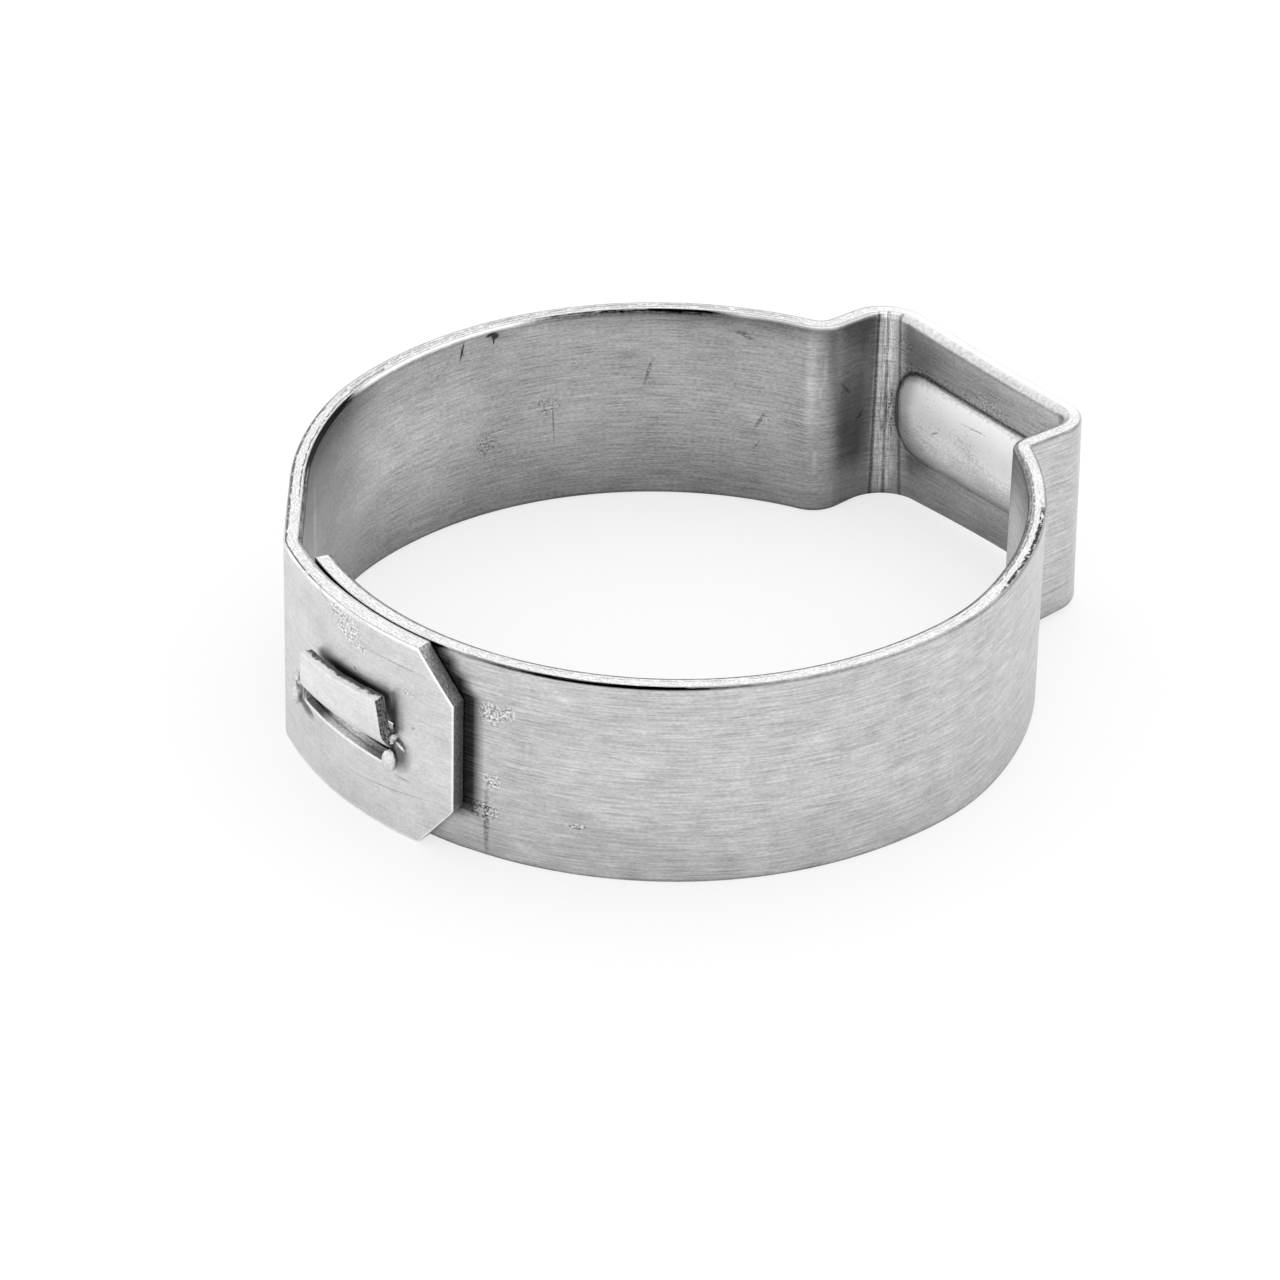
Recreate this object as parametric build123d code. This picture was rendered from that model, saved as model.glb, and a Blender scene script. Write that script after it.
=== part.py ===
from build123d import *
from math import atan2, cos, degrees, radians, sin, sqrt
import os

# Ear hose clamp: one flat strip, bent round, folded up into an ear and hooked to itself.
# The ring's axis is Z, the ear stands towards +Y, the lock sits opposite it.
# The strip's lower edge lies on z = 0.

# Strip and ring
inner_diameter = 22.6
band_width = 7.0
band_thickness = 0.6
edge_break = 0.08

# Ear: width is taken over the legs, height is the crown above the band
ear_width = 10.2
ear_height = 1.9
back_corner_bend = 1.0
front_corner_bend = 0.75
back_foot_bend = 0.6
front_foot_bend = 0.25

# Dimple pressed into the crown, towards the ring
dimple_edge = 0.45
dimple_width = 3.35
dimple_depth = 0.5
dimple_wall_lean = 38
dimple_bend = 0.25

# Lap: reaches are measured along the strip, from the lock's middle to each end
lap_gap = 0.06
outer_reach = 4.15
inner_reach = 3.2
step_space = 0.95
step_bend = 0.85
tip_cut_length = 1.3
tip_cut_height = 1.6

# Lock: a tongue lanced from the inner layer stands out through the outer layer's slot
lock_angle = 270.3
tongue_length = 3.55
tongue_bend = 0.12
tongue_gap = 0.08
slot_free_length = 0.9
slot_end_gap = 0.1
lance_gap = 0.06

# Middle line of the strip
half = band_thickness / 2
ring_radius = inner_diameter / 2 + half
lap_radius = ring_radius + band_thickness + lap_gap
outer_end = lock_angle + degrees(outer_reach / lap_radius)
inner_end = lock_angle - degrees(inner_reach / ring_radius)

# The outer layer leaves the ring on a tangent and bends back onto the lap's circle
step_radius = step_bend + half
step_sweep = degrees(atan2(sqrt((lap_radius - step_radius) ** 2 - (ring_radius - step_radius) ** 2),
                           ring_radius - step_radius))
lap_start = inner_end - degrees(step_space / lap_radius)
step_start = lap_start - step_sweep
step_centre = ((lap_radius - step_radius) * cos(radians(lap_start)),
               (lap_radius - step_radius) * sin(radians(lap_start)))

# Ear corners and feet, as the middle line's radii and centres
leg_offset = (ear_width - band_thickness) / 2
crown_offset = ring_radius + ear_height
back_corner = back_corner_bend + half
front_corner = front_corner_bend + half
back_foot = back_foot_bend + half
front_foot = front_foot_bend + half


# Centre of the bend that turns the ring outwards into a leg
def foot_centre(radius):
    across = leg_offset + radius
    return across, sqrt((ring_radius + radius) ** 2 - across ** 2)


back_x, back_y = foot_centre(back_foot)
front_x, front_y = foot_centre(front_foot)
back_angle = degrees(atan2(back_y, back_x))
front_angle = degrees(atan2(front_y, front_x))


# One face of the strip, from its outer end to its inner end, moved outwards by a shift
def strip_face(shift):
    arcs = [
        CenterArc((0, 0), lap_radius + shift, outer_end, lap_start - outer_end),
        CenterArc(step_centre, step_radius + shift, lap_start, -step_sweep),
        CenterArc((0, 0), ring_radius + shift, step_start, 180 - back_angle - step_start),
        CenterArc((-back_x, back_y), back_foot - shift, -back_angle, back_angle),
        CenterArc((back_corner - leg_offset, crown_offset - back_corner), back_corner + shift, 180, -90),
        CenterArc((leg_offset - front_corner, crown_offset - front_corner), front_corner + shift, 90, -90),
        CenterArc((front_x, front_y), front_foot - shift, 180, front_angle),
        CenterArc((0, 0), ring_radius + shift, front_angle, inner_end - 360 - front_angle),
    ]
    edges = [arcs[0]]
    for before, after in zip(arcs, arcs[1:]):
        if (before @ 1 - after @ 0).length > 0.001:
            edges.append(Line(before @ 1, after @ 0))
        edges.append(after)
    return edges


outside = strip_face(half)
inside = strip_face(-half)
ends = [Line(outside[0] @ 0, inside[0] @ 0), Line(outside[-1] @ 1, inside[-1] @ 1)]
band = extrude(make_face(Wire(outside + inside + ends)), band_width)

# Both corners of the outer end are cut off on the slant
tip = Plane(
    origin=(lap_radius * cos(radians(outer_end)), lap_radius * sin(radians(outer_end)), 0),
    x_dir=(-sin(radians(outer_end)), cos(radians(outer_end)), 0),
    z_dir=(cos(radians(outer_end)), sin(radians(outer_end)), 0),
)
corner = make_face(Polyline((0, 0), (-tip_cut_length, 0), (0, tip_cut_height), close=True))
for cut in (corner, Pos(0, band_width) * mirror(corner, Plane.XZ)):
    band -= extrude(tip * cut, band_thickness, both=True)

# The sharp edges round both rims are broken, as tumbling leaves them
rims = band.faces().filter_by(Axis.Z)
band = chamfer(rims.edges(), edge_break)

# Dimple: the same pressed shape is raised on the crown's inner face and hollow in its outer face
dimple_length = ear_width - 2 * band_thickness - 2 * dimple_edge
dimple = extrude(RectangleRounded(dimple_length, dimple_width, 0.42 * dimple_width),
                 dimple_depth, taper=dimple_wall_lean)
dimple = fillet(dimple.faces().sort_by(Axis.Z)[-1].edges(), dimple_bend)
raised = Plane((0, crown_offset - half, band_width / 2), x_dir=(1, 0, 0), z_dir=(0, -1, 0))
hollow = Plane((0, crown_offset + half, band_width / 2), x_dir=(1, 0, 0), z_dir=(0, -1, 0))
band += raised * dimple
band -= hollow * dimple


# Part of a ring: a shape drawn in distance from the axis and height, turned about the axis
def around(shape, start, sweep):
    outward = (cos(radians(start)), sin(radians(start)), 0)
    upright = Plane(origin=(0, 0, 0), x_dir=outward, z_dir=(outward[1], -outward[0], 0))
    return revolve(upright * shape, Axis.Z, sweep)


# A block of such a ring between two distances and two heights
def around_block(near, far, low, high, start, sweep):
    block = Pos((near + far) / 2, (low + high) / 2) * Rectangle(far - near, high - low)
    return around(block, start, sweep)


# Slot through the outer layer only: it starts a third of the way up, and is free on the tongue's left
tongue_rise = 1.6 * band_thickness
slot_bottom = band_width / 3
slot_height = tongue_rise + band_thickness
between = ring_radius + half + lap_gap / 2
beyond = lap_radius + band_thickness
tongue_sweep = degrees(tongue_length / lap_radius)
tongue_start = lock_angle - tongue_sweep / 2
slot_sweep = tongue_sweep + degrees((slot_free_length + slot_end_gap) / lap_radius)
slot_start = tongue_start - degrees(slot_free_length / lap_radius)
band -= around_block(between, beyond, slot_bottom, slot_bottom + slot_height, slot_start, slot_sweep)

# Tongue's middle line: up in the inner layer, out through the slot, up again over the outer layer
lance_bottom = slot_bottom - lance_gap
tongue_root = slot_bottom + half
tongue_top = 0.68 * band_width
tongue_stand = lap_radius + band_thickness + tongue_gap
tongue_line = FilletPolyline(
    (ring_radius, lance_bottom),
    (ring_radius, tongue_root),
    (tongue_stand, tongue_root + tongue_rise),
    (tongue_stand, tongue_top),
    radius=tongue_bend + half,
)
tongue = make_face(tongue_line.offset_2d(half, side=Side.BOTH))

# The window it leaves in the inner layer is as tall as the tongue is long when flat
lance_sweep = degrees(lance_gap / lap_radius)
window_top = lance_bottom + tongue_line.length + lance_gap
band -= around_block(ring_radius - band_thickness, between, lance_bottom, window_top,
                     tongue_start - lance_sweep, tongue_sweep + 2 * lance_sweep)
band += around(tongue, tongue_start, tongue_sweep)

os.makedirs("parts", exist_ok=True)
export_step(band, "parts/clamp_band.step")
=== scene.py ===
import math
import bpy
import numpy as np
from mathutils import Matrix


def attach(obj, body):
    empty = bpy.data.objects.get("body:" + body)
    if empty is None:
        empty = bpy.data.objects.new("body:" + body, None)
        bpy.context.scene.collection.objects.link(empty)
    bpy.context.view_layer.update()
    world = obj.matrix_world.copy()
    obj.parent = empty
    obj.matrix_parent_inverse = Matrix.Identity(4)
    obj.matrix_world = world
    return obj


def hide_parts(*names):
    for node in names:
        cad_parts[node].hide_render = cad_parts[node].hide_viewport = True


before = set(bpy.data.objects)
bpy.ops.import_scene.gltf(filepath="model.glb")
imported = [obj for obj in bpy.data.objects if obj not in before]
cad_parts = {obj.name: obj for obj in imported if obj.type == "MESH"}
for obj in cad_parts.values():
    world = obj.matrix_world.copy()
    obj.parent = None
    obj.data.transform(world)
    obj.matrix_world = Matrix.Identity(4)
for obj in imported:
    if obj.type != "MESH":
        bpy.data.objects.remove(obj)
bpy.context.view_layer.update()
mm = 0.001

strip = {
    "innerDiameter": 22.6,
    "width": 7.0,
    "thickness": 0.6,
    "outerRound": 0.05,     # rounding of the rims' outer edge
    "innerRound": 0.14,     # and of their inner edge
    "crownRound": 0.28,     # inner edge along the crown, worn by the bending tool
    "lapRound": 0.02,       # edges where the two layers lie on each other
    "lapBlend": (4.0, 7.5), # lengths from the outer end over which its inner edge takes its rounding
    "cutRound": 0.045,      # rounding of the slot, window and tongue edges
}
ear = {
    "width": 10.2,          # over the legs
    "height": 1.9,          # crown above the ring, at mid width
    "lean": 0.1,            # how much further out the crown stands at its lower edge
    "backCorner": 1.0,      # inside bends
    "backCornerSlack": 0.4, # how much wider the back corner is bent at its lower edge
    "frontCorner": 0.75,
    "backFoot": 0.6,
    "frontFoot": 0.25,
    "lift": 0.36,           # how far the dimple draws the crown's lower edge up
    "sink": 0.1,            # and its upper edge down
    "bow": 0.06,            # and how far it bows the edges out and in
    "crease": 0.035,        # height of the ridges the bending tool left in the back corner
    "ridges": [(1.0, 0.39, 0.045), (0.8, 0.6, 0.06)],   # share of it, middle and half as corner shares
    "bellLean": 1.35,       # above 1, the dimple's pull is strongest past mid crown
    "bellFlat": 1.1,
    "fade": 1.6,            # how fast that pull fades towards mid width
}
ringBulges = [              # in mm, and in degrees round the axis
    {"height": 0.07, "angle": 203, "spread": 12},
    {"height": 0.09, "angle": 13, "spread": 11},
]
lap = {
    "gap": 0.025,
    "endLift": 0.01,        # how far the inner end stands off the outer layer, inwards
    "liftLength": 3.0,
    "lockAngle": 270.3,     # degrees round the axis, from which both reaches go
    "outerReach": 4.15,
    "innerReach": 3.2,
    "stepSpace": 0.95,
    "stepBend": 0.85,
    "tipLength": 1.3,       # the outer end's cut corners
    "tipHeight": 1.6,
}

half = strip["thickness"] / 2
width = strip["width"]
ringR = strip["innerDiameter"] / 2 + half
lapR = ringR + strip["thickness"] + lap["gap"]
lockAngle = math.radians(lap["lockAngle"])
outerEnd = lockAngle + lap["outerReach"] / lapR
innerEnd = lockAngle - lap["innerReach"] / ringR
stepR = lap["stepBend"] + half
lapStart = innerEnd - lap["stepSpace"] / lapR
stepSweep = math.acos((ringR - stepR) / (lapR - stepR))
legX = (ear["width"] - strip["thickness"]) / 2


# An arc of the middle line. side is 1 where the strip's outer face looks away from its centre, else -1
def arcPiece(x, y, radius, start, sweep, side=1):
    return {"x": x, "y": y, "radius": radius, "start": start, "sweep": sweep, "side": side}


# Feet: a circle that touches the ring from outside and the leg's line x = legX, by Pythagoras
def footCentre(radius):
    across = legX + radius
    return across, math.sqrt((ringR + radius) ** 2 - across ** 2)


# The strip's middle line at the heights z: lap, step, ring, foot, two corners, foot, ring
def bandPieces(z):
    backR = ear["backCorner"] + half + ear["backCornerSlack"] * (1 - z / width)
    frontR = ear["frontCorner"] + half
    crownY = ringR + ear["height"] + ear["lean"] * (0.5 - z / width)
    backFoot, frontFoot = ear["backFoot"] + half, ear["frontFoot"] + half
    backX, backY = footCentre(backFoot)
    frontX, frontY = footCentre(frontFoot)
    backTurn, frontTurn = math.atan2(backY, backX), math.atan2(frontY, frontX)
    quarter = math.pi / 2
    stepX, stepY = (lapR - stepR) * math.cos(lapStart), (lapR - stepR) * math.sin(lapStart)
    return [
        arcPiece(0, 0, lapR, outerEnd, lapStart - outerEnd),
        arcPiece(stepX, stepY, stepR, lapStart, -stepSweep),
        arcPiece(0, 0, ringR, lapStart - stepSweep, math.pi - backTurn - lapStart + stepSweep),
        arcPiece(-backX, backY, backFoot, -backTurn, backTurn, side=-1),
        arcPiece(backR - legX, crownY - backR, backR, math.pi, -quarter),
        arcPiece(legX - frontR, crownY - frontR, frontR, quarter, -quarter),
        arcPiece(frontX, frontY, frontFoot, math.pi, frontTurn, side=-1),
        arcPiece(0, 0, ringR, frontTurn, innerEnd - 2 * math.pi - frontTurn),
    ]


# Points on an arc at the shares t of its sweep: centre + radius (cos a, sin a), a = start + sweep t
def arcPoints(piece, t, z):
    angle = piece["start"] + piece["sweep"] * t[:, None] + 0 * z[None, :]
    turn = np.stack([np.cos(angle), np.sin(angle)], -1)
    centre = np.stack([piece["x"] + 0 * angle, piece["y"] + 0 * angle], -1)
    radius = (piece["radius"] + 0 * angle)[..., None]
    return centre + radius * turn, piece["side"] * turn


# Points on the straight from one arc's end to the next one's start: p = a + (b - a) t
def straightPoints(a, b, t):
    place = a + (b - a) * t[:, None, None]
    ahead = (b - a) / np.linalg.norm(b - a, axis=-1, keepdims=True)
    return place, np.stack([-ahead[..., 1], ahead[..., 0]], -1) + 0 * place


# Spans of the strip with their lengths at mid width: each arc, and each straight that leads to one
middle = np.array([width / 2])
nominal = bandPieces(middle)
backRingArc, backCornerArc, frontRingArc = nominal[2], nominal[4], nominal[7]
spans = []
for index, piece in enumerate(nominal):
    if index:
        before = arcPoints(nominal[index - 1], np.array([1.0]), middle)[0]
        after = arcPoints(piece, np.array([0.0]), middle)[0]
        if np.linalg.norm(after - before) > 0.01:
            spans.append(("straight", index, float(np.linalg.norm(after - before))))
    spans.append(("arc", index, float(np.ravel(np.abs(piece["sweep"]) * piece["radius"])[0])))
spanEnds = np.cumsum([0.0] + [span[2] for span in spans])
stripLength = spanEnds[-1]
spanNames = ["lap", "step", "tangent", "backRing", "backFoot", "backLeg", "backCorner", "crown",
             "frontCorner", "frontLeg", "frontFoot", "frontRing"]
startOf = dict(zip(spanNames, spanEnds.tolist()))   # lengths along the strip at which they start
print("strip", round(stripLength, 2), "mm long in", len(spans), "spans")


# Place and outward direction of the middle line at the lengths s and heights z, both whole arrays
def bandFrame(s, z):
    pieces = bandPieces(z)
    place = np.zeros((len(s), len(z), 2))
    out = np.zeros_like(place)
    which = np.clip(np.searchsorted(spanEnds, s, side="right") - 1, 0, len(spans) - 1)
    for number, (kind, index, length) in enumerate(spans):
        rows = which == number
        t = (s[rows] - spanEnds[number]) / length
        if kind == "arc":
            place[rows], out[rows] = arcPoints(pieces[index], t, z)
        else:
            a = arcPoints(pieces[index - 1], np.array([1.0]), z)[0]
            b = arcPoints(pieces[index], np.array([0.0]), z)[0]
            place[rows], out[rows] = straightPoints(a, b, t)
    return place, out


# Length along the strip of an angle round the axis, in the outer layer and in the ring's front part
def outerLength(angle):
    return (outerEnd - angle) * lapR


def frontLength(angle):
    return startOf["frontRing"] + (frontRingArc["start"] - (angle - 2 * math.pi)) * ringR


lock = {
    "tongueLength": 3.7,
    "tongueShift": 0.35,    # degrees it sits left of the lock's middle
    "tongueTop": 4.8,
    "rise": 1.6,            # in thicknesses: how much higher it comes out than it starts
    "tongueBend": 0.12,     # inside radius of its two bends
    "tongueGap": 0.08,      # clear of the outer layer's face
    "slotLow": 2.36,
    "slotFree": 0.75,       # open part of the slot left of the tongue
    "slotEndGap": 0.1,
    "lanceGap": 0.06,
    "shear": 0.035,         # how rough its sheared edges are
    "shearReach": 0.5,      # and how far in from its tip
    "thinned": 0.1,         # how much its tip is dressed off outside
    "thinnedBehind": 0.04,  # and behind
    "tipTilt": 0.2,         # how much higher its tip is on the right
    "sideTilt": 0.3,        # how far its right side slants out towards the slot
}
tongueRise = lock["rise"] * strip["thickness"]
slotLow = lock["slotLow"]
slotHigh = slotLow + tongueRise + strip["thickness"]
tongueSweep = lock["tongueLength"] / lapR
tongueStart = lockAngle - tongueSweep / 2 - math.radians(lock["tongueShift"])
slotStart = tongueStart - lock["slotFree"] / lapR
slotSweep = tongueSweep + (lock["slotFree"] + lock["slotEndGap"]) / lapR
slotS = (outerLength(slotStart + slotSweep), outerLength(slotStart))
lanceLow = slotLow - lock["lanceGap"]
tongueRoot = slotLow + half
tongueStand = lapR + strip["thickness"] + lock["tongueGap"]
lanceSweep = lock["lanceGap"] / lapR
tongueS = (frontLength(tongueStart + tongueSweep), frontLength(tongueStart))
windowS = (frontLength(tongueStart + tongueSweep + lanceSweep), frontLength(tongueStart - lanceSweep))

# The tongue's middle line: up, bent out by its tilt, slanted through the slot, bent back, up again
tilt = math.atan2(tongueStand - ringR, tongueRise)
bendR = lock["tongueBend"] + half
trim = bendR * math.tan(tilt / 2)
runs = [
    (tongueRoot - lanceLow - trim, 0.0),
    (bendR * tilt, tilt),
    (math.hypot(tongueStand - ringR, tongueRise) - 2 * trim, 0.0),
    (bendR * tilt, -tilt),
    (lock["tongueTop"] - tongueRoot - tongueRise - trim, 0.0),
]
runEnds = np.cumsum([0.0] + [run[0] for run in runs])
tongueSpan = runEnds[-1]
tongueTip = lanceLow + tongueSpan
windowHigh = tongueTip + lock["lanceGap"]
fineRun = np.linspace(0, tongueSpan, 2001)
fineLean = np.interp(fineRun, runEnds, np.cumsum([0.0] + [run[1] for run in runs]))
leanMid = (fineLean[1:] + fineLean[:-1]) / 2
fineOut = np.concatenate([[0.0], np.cumsum(np.sin(leanMid) * np.diff(fineRun))])
fineUp = np.concatenate([[0.0], np.cumsum(np.cos(leanMid) * np.diff(fineRun))])

dimple = {
    "edge": 0.45,           # from the legs' inner faces to its ends
    "width": 3.35,
    "depth": 0.6,
    "reach": 1.67,          # how far in from its outline it still rises
    "end": 1.4,             # radius of its round ends
    "groove": 0.03,         # depth of the groove pressed round it
    "grooveHalf": 0.12,     # and half its width
}
dimpleLength = ear["width"] - 2 * strip["thickness"] - 2 * dimple["edge"]


# Grid lines: even steps between the stops, and extra lines close to each edge that is rounded off.
# The edges themselves always stay, and no line lies too close to them or to the next one
def gridLines(stops, steps, edges, nearest=(0.004, 0.0021)):
    lines = [np.linspace(low, high, max(1, int(round((high - low) / step))) + 1)
             for low, high, step in zip(stops[:-1], stops[1:], steps)]
    lines = np.unique(np.round(np.concatenate(lines), 6))
    for edge, offsets in edges:
        near, away = np.array(offsets), np.abs(lines - edge)
        keep = (away > 1.3 * near[-1]) | (away < 1e-6)
        lines = np.concatenate([lines[keep], edge - near, edge + near])
    exact = np.round([edge for edge, offsets in edges], 5)
    clear = np.abs(lines[:, None] - exact).min(1) > nearest[0]
    lines = np.unique(np.round(np.concatenate([lines[clear], exact]), 5))
    lines = lines[np.concatenate([[True], np.diff(lines) > nearest[1]])]
    return lines[(lines >= stops[0] - 1e-9) & (lines <= stops[-1] + 1e-9)]


# Spacing of the grid's lines, and offsets of the extra lines beside each kind of edge
gridSteps = {
    "spans": [0.13, 0.1, 0.3, 0.42, 0.09, 0.12, 0.055, 0.1, 0.1, 0.12, 0.09, 0.42],
    "window": 0.11,
    "margin": 0.4,          # how far round the window its spacing reaches
    "heights": [0.19, 0.15, 0.03, 0.16, 0.15, 0.12, 0.03, 0.19],
    "cut": (0.006, 0.018, 0.033, 0.05),
    "rim": (0.008, 0.025, 0.05, 0.09, 0.15, 0.22, 0.3, 0.38),
    "dimple": (0.03, 0.07),
    "hidden": (0.02,),
}
aroundWindow = (windowS[0] - gridSteps["margin"], windowS[1] + gridSteps["margin"])
sStops = sorted({*spanEnds, *slotS, *windowS, *tongueS, *aroundWindow})
sSpan = np.searchsorted(spanEnds, np.array(sStops[:-1]) + 1e-6, side="right") - 1
sSteps = [gridSteps["window"] if low >= aroundWindow[0] - 0.01 else gridSteps["spans"][span]
          for low, span in zip(sStops[:-1], sSpan)]
sEdges = (0.0, *slotS, *windowS, *tongueS, stripLength)
sLine = gridLines(sStops, sSteps, [(edge, gridSteps["cut"]) for edge in sEdges])
dimpleLow, dimpleHigh = width / 2 - dimple["width"] / 2, width / 2 + dimple["width"] / 2
zStops = [0, dimpleLow, lanceLow, slotLow, slotHigh, dimpleHigh, tongueTip, windowHigh, width]
zEdges = {"rim": (0.0, width), "dimple": (dimpleLow, dimpleHigh), "cut": (slotLow, slotHigh, tongueTip),
          "hidden": (lanceLow, windowHigh)}
zLine = gridLines(zStops, gridSteps["heights"],
                  [(edge, gridSteps[kind]) for kind, edges in zEdges.items() for edge in edges])
print("grid of", len(sLine), "by", len(zLine), "lines")


# True strictly between low and high
def between(values, low, high):
    return (values > low) & (values < high)


sMid, zMid = (sLine[1:] + sLine[:-1]) / 2, (zLine[1:] + zLine[:-1]) / 2
inSlot = between(sMid, *slotS)[:, None] & between(zMid, slotLow, slotHigh)
inWindow = between(sMid, *windowS)[:, None] & between(zMid, lanceLow, windowHigh)
inTongue = between(sMid, *tongueS)[:, None] & between(zMid, lanceLow, tongueTip)
kept = ~inSlot & (~inWindow | inTongue)

# The outer end's corners are cut: the lines before the slot are squeezed towards the slant
sGrid, zGrid = np.meshgrid(sLine, zLine, indexing="ij")
fromRim = np.minimum(zGrid, width - zGrid)
endAt = lap["tipLength"] * np.clip(1 - fromRim / lap["tipHeight"], 0, None)
sTrue = sGrid + endAt * np.clip(1 - sGrid / slotS[0], 0, None)


# Signed distance to a box, negative inside: the larger overhang, or the corner's hypotenuse outside
def boxDistance(s, z, sRange, zRange):
    ds = np.maximum(sRange[0] - s, s - sRange[1])
    dz = np.maximum(zRange[0] - z, z - zRange[1])
    return np.hypot(np.maximum(ds, 0), np.maximum(dz, 0)) + np.minimum(np.maximum(ds, dz), 0)


slantLength = math.hypot(lap["tipLength"], lap["tipHeight"])
slantDistance = ((sTrue - lap["tipLength"]) * lap["tipHeight"] + fromRim * lap["tipLength"]) / slantLength
toEnd = np.where(sGrid < slotS[0], np.minimum(sTrue, slantDistance), stripLength - sGrid)
toSlot = np.where(sGrid < slotS[1] + 1, boxDistance(sGrid, zGrid, slotS, (slotLow, slotHigh)), 9.0)
onTongue = ((sGrid >= tongueS[0] - 1e-5) & (sGrid <= tongueS[1] + 1e-5)
            & (zGrid >= lanceLow - 1e-5) & (zGrid <= tongueTip + 1e-5))
toWindow = np.where(sGrid > windowS[0] - 1, boxDistance(sGrid, zGrid, windowS, (lanceLow, windowHigh)), 9.0)
toTongue = np.minimum.reduce([sGrid - tongueS[0], tongueS[1] - sGrid, tongueTip - zGrid])
underRoot = between(sGrid, *tongueS) & (zGrid <= lanceLow + 1e-5)
rootCorner = np.minimum(np.hypot(sGrid - tongueS[0], zGrid - lanceLow),
                        np.hypot(sGrid - tongueS[1], zGrid - lanceLow))
toWindow = np.where(underRoot, rootCorner, toWindow)
toCut = np.minimum(toSlot, np.where(onTongue, toTongue, toWindow))


# Quarter round of radius r: a point d inside the edge loses r - sqrt(r^2 - (r - d)^2)
def edgeDrop(distance, r):
    into = np.clip(r - np.clip(distance, 0, None), 0, r)
    return r - np.sqrt(r ** 2 - into ** 2)


# Smooth step from 0 at low to 1 at high: 3 t^2 - 2 t^3
def smooth(values, low, high):
    t = np.clip((values - low) / (high - low), 0, 1)
    return t * t * (3 - 2 * t)


# Even roughness from -1 to 1: a sum of sines at unrelated pitches, about 1 / pitch bumps in 6 mm
def rough(a, b, pitch=1.0):
    wave = (np.sin(5.1 * a / pitch + 2.3 * np.sin(3.7 * b / pitch))
            + np.sin(11.3 * a / pitch + 4.1 * b / pitch)
            + 0.7 * np.sin(23.7 * a / pitch - 9.3 * b / pitch)
            + 0.5 * np.sin(41.9 * a / pitch + 17.0 * b / pitch))
    return wave / 3.2


# Shares of the ear, and of the crown with its corners, and the rounding and thickness they give
earShare = np.clip((sGrid - startOf["backFoot"]) / (startOf["frontRing"] - startOf["backFoot"]), 0, 1)
crownShare = (smooth(sGrid, startOf["backCorner"] + 0.3, startOf["crown"] + 0.4)
              * (1 - smooth(sGrid, startOf["frontCorner"] - 0.3, startOf["frontLeg"])))
toRim = np.minimum(fromRim, toEnd)
worn = crownShare * (zGrid > width / 2)
innerRound = strip["innerRound"] + (strip["crownRound"] - strip["innerRound"]) * worn
underLap = sGrid > frontLength(outerEnd)
innerRound = strip["lapRound"] + (innerRound - strip["lapRound"]) * smooth(sGrid, *strip["lapBlend"])
outerRound = np.where(underLap, strip["lapRound"], strip["outerRound"])
dropCut = edgeDrop(toCut, strip["cutRound"])
outerThick = half - np.maximum(edgeDrop(toRim, outerRound), dropCut)
innerThick = half - np.maximum(edgeDrop(toRim, innerRound), dropCut)

place, out = bandFrame(sLine, zLine)
endShare = smooth(sGrid, stripLength - lap["liftLength"], stripLength)
place = place - out * (lap["endLift"] * endShare)[..., None]
isLap = sLine <= slotS[0] + 1e-6
endAngle = outerEnd - sTrue[isLap] / lapR
out[isLap] = np.stack([np.cos(endAngle), np.sin(endAngle)], -1)
place[isLap] = lapR * out[isLap]

# The ring isn't quite round: two places stand out a little, height x exp(-(angle / spread)^2)
onRing = (sGrid < startOf["backFoot"]) | (sGrid > startOf["frontRing"])
angleGrid = np.arctan2(place[..., 1], place[..., 0])
for bulge in ringBulges:
    away = (np.degrees(angleGrid) - bulge["angle"] + 180) % 360 - 180
    place = place + out * (onRing * bulge["height"] * np.exp(-(away / bulge["spread"]) ** 2))[..., None]

# The pressed dimple draws the crown's edges in: a bell over the ear, strongest past mid crown
bell = np.sin(np.pi * earShare ** ear["bellLean"]) ** ear["bellFlat"]
lowPart = np.clip(1 - zGrid / (width / 2), 0, 1) ** ear["fade"]
highPart = np.clip(zGrid / (width / 2) - 1, 0, 1) ** ear["fade"]
height = zGrid + bell * (ear["lift"] * lowPart - ear["sink"] * highPart)
place = place + out * (bell ** 2 * ear["bow"] * (lowPart - highPart))[..., None]

# Dimple: d inside its round-ended outline it has risen by depth (1 - (1 - d / reach)^2)
onCrown = between(sGrid, startOf["backCorner"], startOf["frontLeg"])
u = np.abs(place[..., 0]) - dimpleLength / 2 + dimple["end"]
v = np.abs(zGrid - width / 2) - dimple["width"] / 2 + dimple["end"]
toDimple = np.where(onCrown, np.hypot(np.maximum(u, 0), np.maximum(v, 0)) + np.minimum(np.maximum(u, v), 0)
                    - dimple["end"], 9.0)
rise = 1 - np.clip(1 + toDimple / dimple["reach"], 0, 1) ** 2
press = dimple["depth"] * rise - dimple["groove"] * np.clip(1 - np.abs(toDimple) / dimple["grooveHalf"], 0, 1)
place = place - out * press[..., None]

# Ridges in the back corner's inner face, one on each side of the bend's middle, broken up by roughness
cornerShare = (sGrid - startOf["backCorner"]) / spans[spanNames.index("backCorner")][2]
wobble = cornerShare + 0.012 * rough(zGrid, zGrid * 0.3, 2.0)
ridges = sum(size * np.clip(1 - np.abs(wobble - middleShare) / halfShare, 0, 1)
             for size, middleShare, halfShare in ear["ridges"])
ridges = ridges * smooth(zGrid, 0.15, 0.6) * (1 - smooth(zGrid, 6.6, 6.95))
ridges = ridges * (0.8 + 0.35 * rough(zGrid, sGrid, 0.8))
galled = np.clip(1 - np.abs(cornerShare - 0.5) / 0.2, 0, 1) * smooth(zGrid, 0.1, 0.5)

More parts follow.
